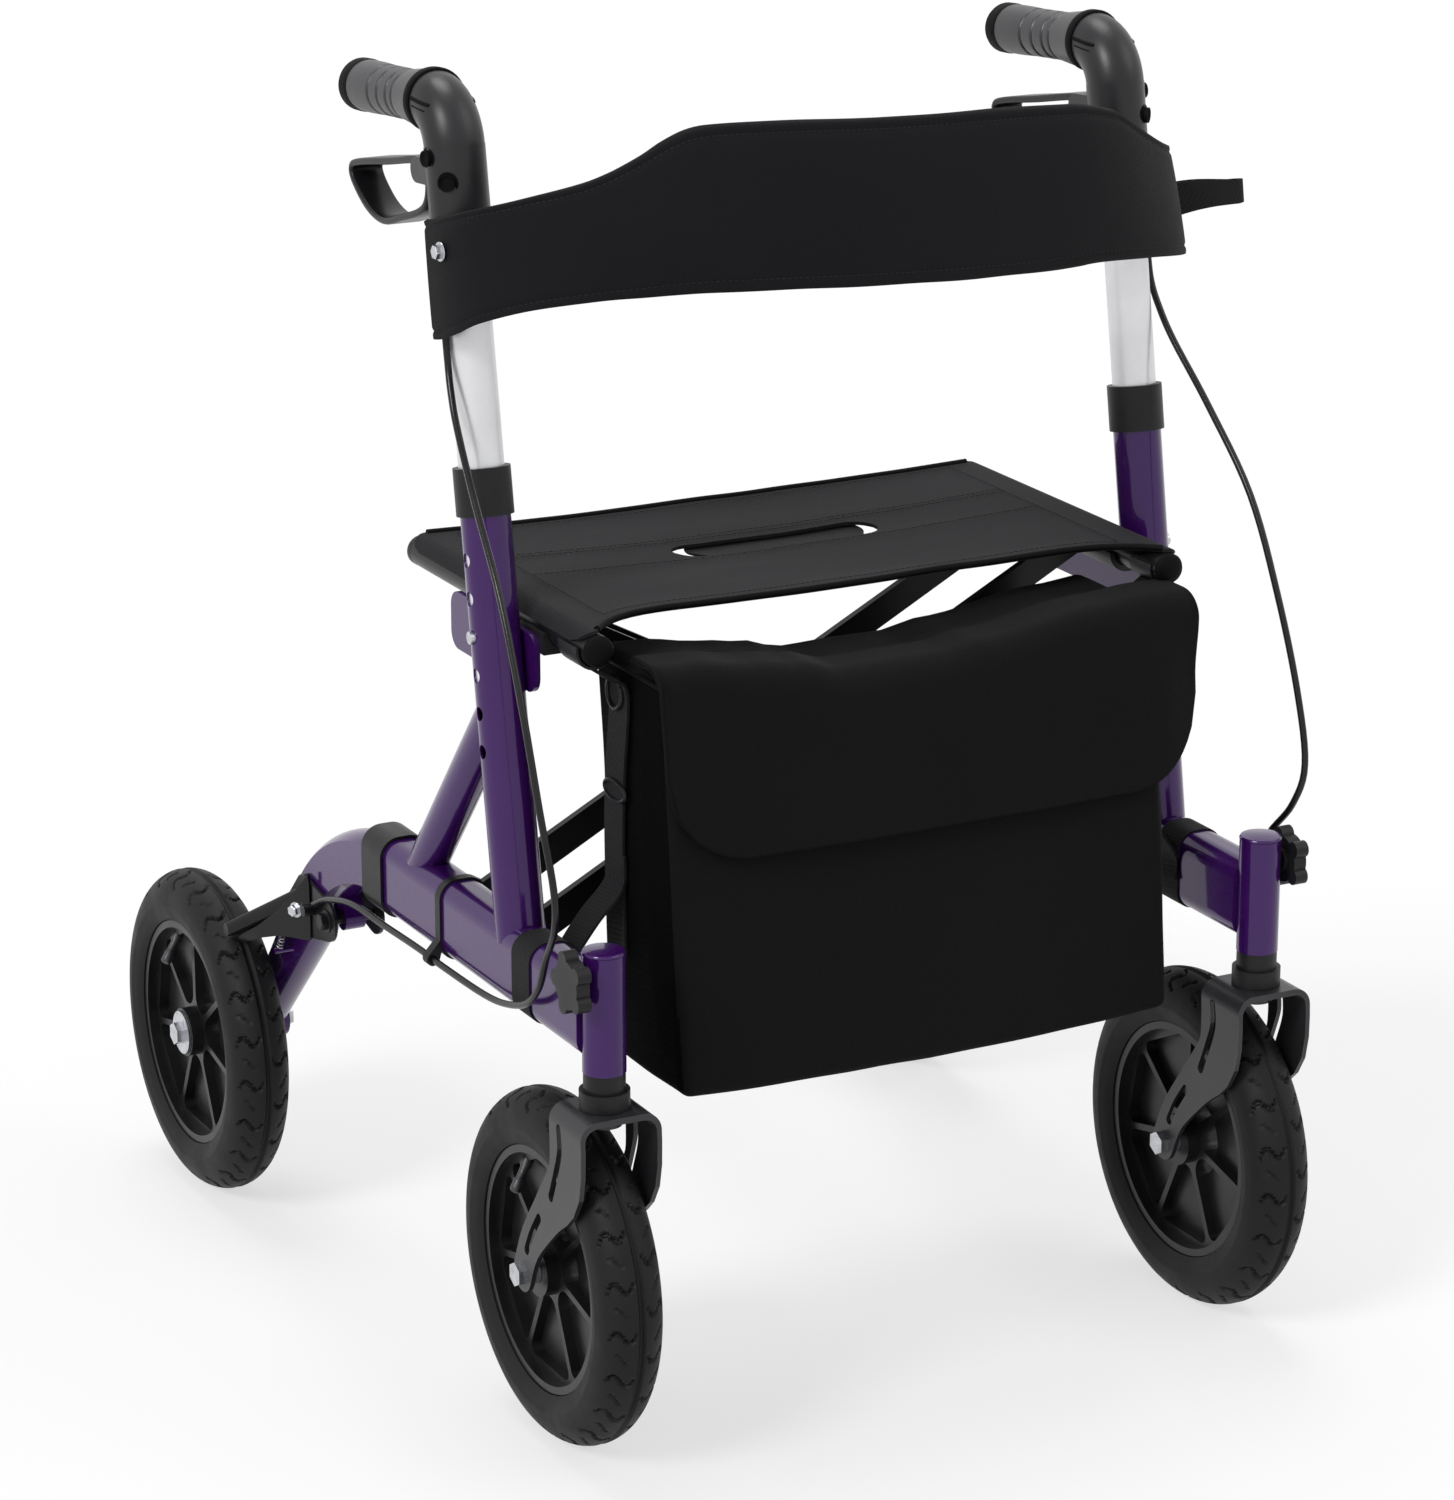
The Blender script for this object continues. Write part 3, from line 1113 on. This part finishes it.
def makeFlapSeam():
    f = flapFacts
    bm = bmesh.new()
    lift = Vector((0, -f["seamOut"], 0))
    shares = spaced(f["seamIn"], 1 - f["seamIn"], f["tapeCells"][0])
    inner = [flapShape(u, f["seamDown"]) + lift for u in shares]
    stitchRow(bm, inner, lambda at: Vector((0, -1, 0)))
    return bm


flapSeam = pieceFromBmesh(makeFlapSeam(), "flapStitching", "sewingThread", "flap")
for piece in (flap, flapTape, flapSeam):
    placeSoft(piece)
print("flap made")


# fold strap: a webbing loop on the right handle shell
strapFacts = {
    "low": 0.458, "width": 0.026, "rootX": 0.0253, "rootBehind": 0.0052, "reach": 0.072, "rootR": 0.0035,
    "tipR": 0.0082, "thick": 0.0017, "cell": 0.005, "endCells": 12, "rows": 5,
    "arch": 0.003, "rise": 0.005, "belly": 0.0022, "narrow": 0.32,
}


def makeFoldStrap():
    f = strapFacts
    root = Vector((sideX + f["rootX"], f["rootBehind"], 0))
    tip = root + Vector((f["reach"], 0, 0))
    loop = []
    for centre, radius, start in ((tip, f["tipR"], -90), (root, f["rootR"], 90)):
        loop += [centre + Vector((math.cos(turn), math.sin(turn), 0)) * radius
                 for turn in map(math.radians, spaced(start, start + 180, f["endCells"]))]
    path = []
    for a, b in zip(loop, loop[1:] + loop[:1]):
        count = max(int((b - a).length / f["cell"]), 1)
        path += [a + (b - a) * k / count for k in range(count)]
    count = len(path)

    def place(u, v):
        p = path[round(u * count) % count]
        out = (p.x - root.x) / f["reach"]
        lift = f["arch"] * arch(out) + f["rise"] * out
        belly = f["belly"] * arch(out) * (1 if p.y > root.y else -1)
        width = f["width"] * (1 - f["narrow"] * out)
        return postPoint(p.x, p.y + belly, f["low"] + f["width"] / 2 + (v - 0.5) * width + lift)

    bm = gridSheet(count, f["rows"], place)
    bmesh.ops.remove_doubles(bm, verts=bm.verts, dist=tiny)
    thicken(bm, f["thick"])
    return bm


strap = pieceFromBmesh(makeFoldStrap(), "foldStrap", "webbing", "handle_right", angle=60)
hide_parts("fold_strap")
print("fold strap made")


# bolts and screws: flats round them, then washer, head and its dished or domed end as shares of the head
boltShares = {
    "round": 24, "hexagon": 6, "washer": 0.66, "washerEdge": 0.68, "washerHigh": 0.2, "washerSoft": 0.06,
    "socketRim": 0.16, "socketDeep": 0.5, "headRim": 0.07, "headDome": 0.12,
}


def boltHead(at, axis, width, height, socket):
    f = boltShares
    axis = Vector(axis).normalized()
    seat = height * f["washerHigh"]
    bm = turned([(0, 0), (width * f["washer"], 0), (width * f["washerEdge"], height * f["washerSoft"]),
                 (width * f["washer"], seat), (0, seat)], axis, at, steps=f["round"])
    turnTo = Vector((0, 0, 1)).rotation_difference(axis).to_matrix().to_4x4()
    flats = f["round"] if socket else f["hexagon"]
    made = bmesh.ops.create_cone(
        bm, cap_ends=True, segments=flats, radius1=width / 2, radius2=width / 2, depth=height,
        matrix=Matrix.Translation(at) @ turnTo @ Matrix.Translation((0, 0, seat + height / 2)))
    top = [face for face in {face for vert in made["verts"] for face in vert.link_faces}
           if len(face.verts) == flats and face.normal.dot(axis) > 0.9]
    rim, rise = (f["socketRim"], -f["socketDeep"]) if socket else (f["headRim"], f["headDome"])
    bmesh.ops.inset_region(bm, faces=top, thickness=width * rim, depth=0)
    centre = list({vert for face in top for vert in face.verts})
    bmesh.ops.translate(bm, verts=centre, vec=axis * height * rise)
    return bm


boltFacts = [
    # name, place on the left side, outward axis, width, height, socket head, finish, body
    ("shellScrew.upper", (-0.2812, -0.1244, 0.8814), (-1, -0.12, 0), 0.0112, 0.0030, True,
     "bindingTape", "handle_"),
    ("shellScrew.lower", (-0.2745, -0.1407, 0.8667), (-0.68, -0.73, 0), 0.0112, 0.0030, True,
     "bindingTape", "handle_"),
    ("backBolt", (-0.2885, -0.1576, 0.8245), (-1, -0.05, 0), 0.0100, 0.0040, False,
     "zincSteel", "handle_"),
    ("brakeBolt", (-0.2815, 0.0886, 0.2695), (-1, 0, 0), 0.0130, 0.0045, False,
     "blackPaint", "brake_"),
    ("pinchBolt", (-0.2882, 0.1305, 0.2666), (-0.92, -0.39, 0), 0.0090, 0.0042, False,
     "zincSteel", "brake_"),
]
boltShift = {("backBolt", "right"): 0.012}  # the band's right end reaches further back
for name, (x, y, z), axis, width, height, socket, look, body in boltFacts:
    for side, sign in sides.items():
        at = Vector((-sign * x, y + boltShift.get((name, side), 0), z))
        bolt = boltHead(at, (-sign * axis[0], axis[1], axis[2]), width, height, socket)
        pieceFromBmesh(bolt, name + "." + side, look, body + side, angle=30)

# upright plate of the brake arm, from the leg's bend out to the shoe
plateFacts = {"out": 0.2845, "at": 0.122, "lean": 0.4206, "thick": 0.0024, "soft": 0.0006, "edge": [
    # y and z round the outline
    (0.1190, 0.2980), (0.1264, 0.2880), (0.1345, 0.2780), (0.1517, 0.2594), (0.1700, 0.2437),
    (0.1840, 0.2345), (0.1905, 0.2296), (0.1876, 0.2272), (0.1774, 0.2300), (0.1643, 0.2358),
    (0.1514, 0.2402), (0.1376, 0.2429), (0.1230, 0.2441), (0.1175, 0.2450), (0.1175, 0.2620),
    (0.1177, 0.2760), (0.1180, 0.2900)]}


def makeBrakePlate(sign):
    f = plateFacts
    bm = bmesh.new()
    inward = Vector((-sign, f["lean"], 0)).normalized() * f["thick"]
    outline = [Vector((sign * (f["out"] + f["lean"] * (y - f["at"])), y, z)) for y, z in f["edge"]]
    front = [bm.verts.new(at) for at in outline]
    back = [bm.verts.new(at + inward) for at in outline]
    bm.faces.new(front)
    bm.faces.new(back[::-1])
    for i in range(len(front)):
        bm.faces.new((front[i], front[i - 1], back[i - 1], back[i]))
    bmesh.ops.bevel(bm, geom=list(bm.edges), offset=f["soft"], segments=2, profile=0.5, affect="EDGES")
    return bm


for side, sign in sides.items():
    pieceFromBmesh(makeBrakePlate(sign), "brakePlate." + side, "blackPaint", "brake_" + side)

# slots on both flanks of the elbow, a dark collar where the neck meets it and a cap on the grip's end
handFacts = {
    "slots": [((-0.0965, 0.9180), (-0.1190, 0.9160), 0.0017), ((-0.0985, 0.9132), (-0.1170, 0.9117), 0.0011)],
    "castFrom": 0.08, "sunk": 0.0009, "slotCells": 12,
    "axis": (0, 0.9976, -0.0698), "collar": (-0.0905, 0.9141), "end": (0.0340, 0.9054),
    "collarSection": [(0.0195, -0.0045), (0.0216, -0.0042), (0.0224, -0.0030), (0.0224, 0.0024),
                      (0.0214, 0.0040), (0.0188, 0.0052)],
    "endSection": [(0.0150, -0.0150), (0.0182, -0.0140), (0.0187, -0.0110), (0.0186, -0.0020),
                   (0.0172, 0.0010), (0.0136, 0.0022), (0, 0.0028)],
}


def onShell(side, flank, y, z):
    # nearest point of the handle shell's flank, sunk a little
    start = Vector((sides[side] * sideX + flank * handFacts["castFrom"], y, z))
    hit, at, normal, _ = cadNodes["handle_shell_" + side].ray_cast(start, Vector((-flank, 0, 0)))
    return at - normal * handFacts["sunk"] if hit else None


for side, sign in sides.items():
    f = handFacts
    trim = bmesh.new()
    for flank in (-1, 1):
        for start, end, radius in f["slots"]:
            line = [Vector(start).lerp(Vector(end), share) for share in spaced(0, 1, f["slotCells"])]
            spots = [onShell(side, flank, y, z) for y, z in line]
            addTube(trim, [at for at in spots if at], radius)
    for section, at in (("collarSection", "collar"), ("endSection", "end")):
        joinInto(trim, turned(f[section], f["axis"], (sign * sideX, *f[at]), steps=48))
    pieceFromBmesh(trim, "handTrim." + side, "bindingTape", "handle_" + side)

# grips: a sleeve with four grooves that flares up to the collar
gripFacts = {"length": 0.1235, "radius": 0.0176, "flare": 0.0042, "flareEnd": 0.036, "swell": 0.0006,
             "bore": 0.0132, "swellFrom": 0.075, "swellOver": 0.048, "begin": 0.003, "lip": 0.0008,
             "cells": 160, "grooves": [0.034, 0.044, 0.059, 0.075], "deep": 0.0016, "wide": 0.0012}


def gripRadius(h):
    f = gripFacts
    r = f["radius"] + f["flare"] * max(1 - h / f["flareEnd"], 0)
    r += f["swell"] * arch((h - f["swellFrom"]) / f["swellOver"])
    return r - f["deep"] * sum(math.exp(-((h - at) / f["wide"]) ** 2) for at in f["grooves"])


for side, sign in sides.items():
    f = gripFacts
    outline = [(gripRadius(h), h) for h in spaced(f["begin"], f["length"], f["cells"])]
    profile = [(f["bore"], f["begin"]), *outline, (f["bore"], f["length"] + f["lip"])]
    sleeve = turned(profile, handFacts["axis"], (sign * sideX, *handFacts["collar"]), steps=64)
    sleeve = pieceFromBmesh(sleeve, "gripSleeve." + side, "gripRubber", "handle_" + side,
                            angle=60)
    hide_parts("grip_" + side)

# brake loops: a flat band bent to a rounded loop with a boss on the pin
loopFacts = {
    "line": [(-0.0930, 0.8735), (-0.0300, 0.8626), (0.0180, 0.8538), (0.0300, 0.8482), (0.0250, 0.8386),
             (0.0020, 0.8246), (-0.0250, 0.8200), (-0.0560, 0.8278), (-0.0860, 0.8372), (-0.0990, 0.8470),
             (-0.1012, 0.8620)],
    "half": 0.0125, "thick": 0.0026, "round": 0.0018, "lineSteps": 8, "roundSteps": 3,
    "pin": (-0.0948, 0.8680),
    "boss": [(0.0044, -0.0124), (0.0074, -0.0124), (0.0080, -0.0116), (0.0080, 0.0116), (0.0074, 0.0124),
             (0.0044, 0.0124)],
}


def makeLoop(middle):
    f = loopFacts
    path = smoothPath([(0, *point) for point in f["line"]], f["lineSteps"], closed=True)
    section = roundedBox(f["half"], f["thick"], f["round"], f["roundSteps"])

    def shape(u, v):
        i, k = round(u * len(path)) % len(path), round(v * len(section)) % len(section)
        way = (path[(i + 1) % len(path)] - path[i - 1]).normalized()
        across, out = section[k]
        return path[i] + Vector((middle + across, -way.z * out, way.y * out))

    bm = gridSheet(len(path), len(section), shape)
    bmesh.ops.remove_doubles(bm, verts=bm.verts, dist=tiny)
    joinInto(bm, turned(f["boss"], (1, 0, 0), (middle, *f["pin"])))
    return bm


for side, sign in sides.items():
    loop = makeLoop(sign * sideX)
    loop = pieceFromBmesh(loop, "brakeLoop." + side, "blackPaint", "lever_" + side)
    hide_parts("brake_lever_" + side)

# plugs in the front ends of the seat rails
railPlugFacts = {"at": (0.226, -0.265, 0.565), "section": [
    (0.0086, -0.006), (0.0086, 0.0002), (0.0112, 0.0004), (0.0112, 0.0014), (0.0100, 0.0034),
    (0.0060, 0.0050), (0, 0.0056)]}
for body, sign in (("arm_b", -1), ("arm_a", 1)):
    x, y, z = railPlugFacts["at"]
    cap = turned(railPlugFacts["section"], (0, -1, 0), (sign * x, y, z))
    pieceFromBmesh(cap, "railPlug." + body, "bindingTape", body)

# tyres: the same section with a finely cut tread
tyreFacts = {
    "middle": 0.103, "round": 0.0239, "turn": 127, "around": 576, "rows": 58, "blocks": 22, "depth": 0.0026,
    "beadRadius": 0.0886, "beadOut": 0.0155, "rib": (0.0390, 0.0006, 0.0012),
    # half width and soft edge of each cut, and the stretch across the tread that it runs over
    "centre": (0.0009, 0.0007), "slit": (0.0011, 0.0009), "slitRun": (0.0035, 0.002, 0.0262, 0.003),
    "sipe": (0.00066, 0.0008), "sipeRun": (0.009, 0.002, 0.0205, 0.002), "sipeDeep": 0.6,
    # the slits' wave across the tread: height, start, length and slant
    "wave": (0.0050, 0.004, 0.020, 0.30),
}
wheelPlaces = {"front": (0.0, -0.2725), "rear": (0.047, 0.2725)}


def treadCut(share, arc):
    # share of the tread's depth that is cut away: round the wheel in turns, and across from the crown
    f = tyreFacts
    off = abs(arc)

    def cut(away, name):
        half, soft = f[name]
        return 1 - smoothStep((away - half) / soft)

    def run(name):
        start, startSoft, end, endSoft = f[name]
        return smoothStep((off - start) / startSoft) * smoothStep((end - off) / endSoft)

    pitch = math.tau * axleZ / f["blocks"]
    high, start, length, slant = f["wave"]
    bend = high * math.sin((off - start) / length * math.tau) + slant * off
    along = share * f["blocks"] + (0.5 if arc > 0 else 0) + bend / pitch
    slit = cut(abs(along % 1 - 0.5) * pitch, "slit") * run("slitRun")
    sipe = cut(abs((along + 0.5) % 1 - 0.5) * pitch, "sipe") * run("sipeRun") * f["sipeDeep"]
    return max(cut(off, "centre"), slit, sipe)


def makeTyre(place):
    f = tyreFacts
    last = f["rows"]
    section = math.radians(f["turn"])
    ribAt, ribHigh, ribWide = f["rib"]

    def shape(u, v):
        row = round(v * last)
        if row in (0, last - 1, last):
            r, out = f["beadRadius"], f["beadOut"] * (1 if row == last - 1 else -1)
        else:
            turn = section * (2 * (row - 1) / (last - 3) - 1)
            arc = turn * f["round"]
            rib = ribHigh * math.exp(-((abs(arc) - ribAt) / ribWide) ** 2)
            swell = f["round"] + rib - f["depth"] * treadCut(u, arc)
            r, out = f["middle"] + swell * math.cos(turn), swell * math.sin(turn)
        spin = math.tau * (round(u * f["around"]) % f["around"]) / f["around"]
        return place + Vector((out, r * math.sin(spin), r * math.cos(spin)))

    bm = gridSheet(f["around"], last, shape)
    bmesh.ops.remove_doubles(bm, verts=bm.verts, dist=tiny)
    return bm


# thin webs that close the rims between their ribs, and valve stems
webFacts = {"inner": 0.0300, "outer": 0.0840, "half": 0.0016, "wave": 0.0012, "cells": 12}
valveFacts = {
    "turn": 0.5, "out": 0.006, "at": 0.079, "lean": 0.75,
    "section": [(0, 0), (0.00432, 0), (0.00432, 0.008), (0.0032, 0.010), (0.0032, 0.019), (0.00416, 0.0195),
                (0.00416, 0.027), (0.00288, 0.0285), (0, 0.0285)],
}


def makeWeb(middle):
    f = webFacts
    radii = spaced(f["inner"], f["outer"], f["cells"])
    front = [(r, f["half"] + f["wave"] * arch(i / f["cells"])) for i, r in enumerate(radii)]
    return turned(front + [(r, -h) for r, h in reversed(front)] + front[:1], (1, 0, 0), middle, steps=96)


def makeValve(middle, sign):
    f = valveFacts
    outward = Vector((0, math.sin(f["turn"]), math.cos(f["turn"])))
    axis = (Vector((sign * f["lean"], 0, 0)) - outward).normalized()
    return turned(f["section"], axis, middle + Vector((sign * f["out"], 0, 0)) + outward * f["at"], steps=16)


for axle, (out, y) in wheelPlaces.items():
    for side, sign in sides.items():
        name, body = axle + "_" + side, axle + "_wheel_" + side
        middle = Vector((sign * (sideX + out), y, axleZ))
        tyre = pieceFromBmesh(makeTyre(middle), "tyre." + name, "tyreRubber", body, angle=35)
        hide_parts(axle + "_tyre_" + side)
        pieceFromBmesh(makeWeb(middle), "rimWeb." + name, "rimNylon", body)
        pieceFromBmesh(makeValve(middle, sign), "valve." + name, "gripRubber", body)
print("tyres cut")

# plugs in the tops of the head tubes
plugFacts = {"y": -0.3425, "z": 0.380, "section": [
    (0, -0.004), (0.0113, -0.004), (0.0123, 0.0002), (0.0153, 0.0004), (0.0153, 0.0012), (0.0143, 0.0024),
    (0.00765, 0.0034), (0, 0.0036)]}
for side, sign in sides.items():
    plug = turned(plugFacts["section"], (0, 0, 1), (sign * sideX, plugFacts["y"], plugFacts["z"]))
    pieceFromBmesh(plug, "headPlug." + side, "purplePaint", side + "_frame")
print("hardware made")


# pale floor, white surroundings and soft studio light
studio = {
    "floor": 14.0, "floorTone": (0.9, 0.9, 0.9, 1), "white": (1, 1, 1, 1), "shadow": 0.38, "ambient": 0.43,
    # from, strength, angle across
    "lamps": [((-3.4, -1.2, 2.8), 1.5, 20), ((2.4, -2.0, 2.6), 0.45, 40), ((0.2, 1.4, 3.8), 1.1, 30)],
}


def seenAsBackground(tree):
    rays = addNode(tree, "ShaderNodeLightPath").outputs
    mirrored = doMath(tree, "MAXIMUM", rays["Is Glossy Ray"], rays["Is Transmission Ray"])
    return doMath(tree, "MAXIMUM", rays["Is Camera Ray"], mirrored)


def makeFloor():
    bm = bmesh.new()
    bmesh.ops.create_grid(bm, x_segments=1, y_segments=1, size=studio["floor"])
    mesh = bpy.data.meshes.new("floor")
    bm.to_mesh(mesh)
    bm.free()
    floor = bpy.data.objects.new("floor", mesh)
    scene.collection.objects.link(floor)
    material = bpy.data.materials.new("paleFloor")
    material.use_nodes = True
    tree = material.node_tree
    tree.nodes.remove(tree.nodes["Principled BSDF"])
    diffuse = addNode(tree, "ShaderNodeBsdfDiffuse", {"Color": studio["floorTone"]})
    glow = addNode(tree, "ShaderNodeEmission", {"Color": studio["white"], "Strength": 1.0})
    mix = addNode(tree, "ShaderNodeMixShader")
    tree.links.new(doMath(tree, "MULTIPLY", seenAsBackground(tree), 1 - studio["shadow"]), mix.inputs[0])
    tree.links.new(diffuse.outputs[0], mix.inputs[1])
    tree.links.new(glow.outputs[0], mix.inputs[2])
    tree.links.new(mix.outputs[0], tree.nodes["Material Output"].inputs["Surface"])
    mesh.materials.append(material)


def makeLight():
    world = bpy.data.worlds.new("studio")
    scene.world = world
    world.use_nodes = True
    tree = world.node_tree
    sky = tree.nodes["Background"]
    level = addNode(tree, "ShaderNodeMapRange", {"To Min": studio["ambient"], "To Max": 1.0})
    tree.links.new(seenAsBackground(tree), level.inputs["Value"])
    tree.links.new(level.outputs[0], sky.inputs["Strength"])
    sky.inputs["Color"].default_value = studio["white"]
    for place, strength, angle in studio["lamps"]:
        data = bpy.data.lights.new("softLight", "SUN")
        data.energy = strength
        data.angle = math.radians(angle)
        lamp = bpy.data.objects.new("softLight", data)
        lamp.location = place
        lamp.rotation_euler = (-Vector(place)).to_track_quat("-Z", "Y").to_euler()
        scene.collection.objects.link(lamp)


makeFloor()
makeLight()
print("stage set")
